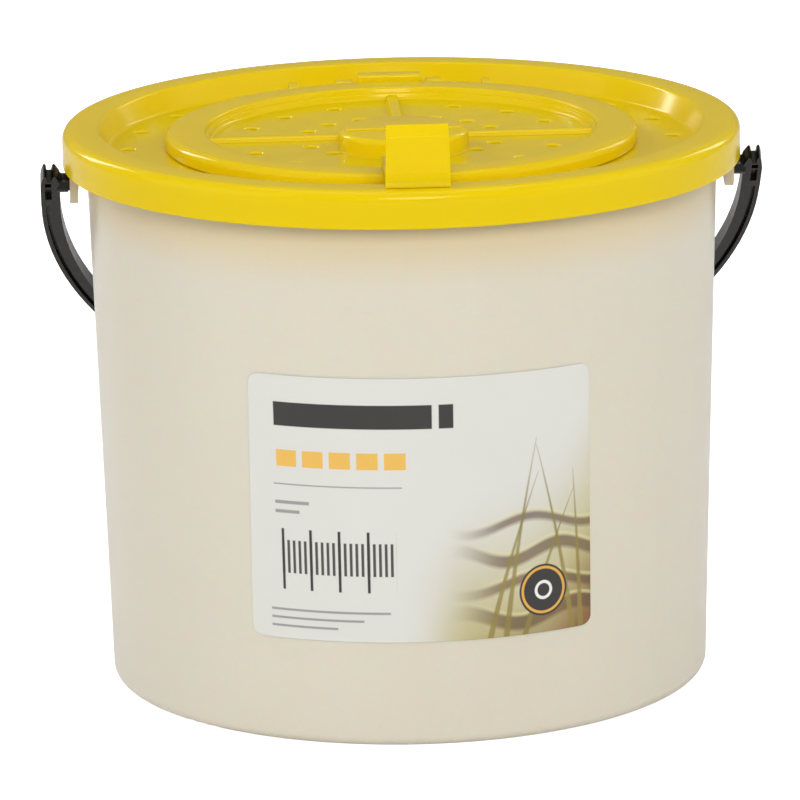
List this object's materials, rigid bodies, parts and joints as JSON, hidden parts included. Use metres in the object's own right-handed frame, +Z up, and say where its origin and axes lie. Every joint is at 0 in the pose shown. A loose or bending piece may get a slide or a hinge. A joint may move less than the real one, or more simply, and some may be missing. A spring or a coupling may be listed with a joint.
{
  "type": "bait bucket",
  "caption": "Round bait pail with a press-on ventilated lid, a hinged hatch with a thumb tab, and a swinging handle.",
  "frame": {"origin": "centre of the pail's base, on the plane it stands on", "axes": "+Z up along the pail's axis, +X along the handle's pivot axis, -Y towards the thumb tab and the label"},
  "size_m": [0.2174, 0.2036, 0.1872],
  "materials": {
    "pail_plastic": "satin, slightly translucent",
    "lid_plastic": "glossy",
    "bail_plastic": "semi-gloss",
    "label_film": "printed film"
  },
  "bodies": {
    "pail": {"pail": "pail_plastic", "label": "label_film"},
    "lid": {"lid": "lid_plastic"},
    "hatch": {"hatch": "lid_plastic"},
    "bail": {"bail": "bail_plastic"}
  },
  "joints": [
    {"name": "lid_lift", "type": "slide", "parent": "pail", "child": "lid", "axis": [0, 0, 1], "range_m": [0, 0.06]},
    {"name": "hatch_hinge", "type": "hinge", "parent": "lid", "child": "hatch", "pos_m": [0, 0.075, 0.1649], "axis": [-1, 0, 0], "range_deg": [0, 110]},
    {"name": "bail_swing", "type": "hinge", "parent": "pail", "child": "bail", "pos_m": [0, 0, 0.1527], "axis": [1, 0, 0], "range_deg": [0, 266]}
  ]
}
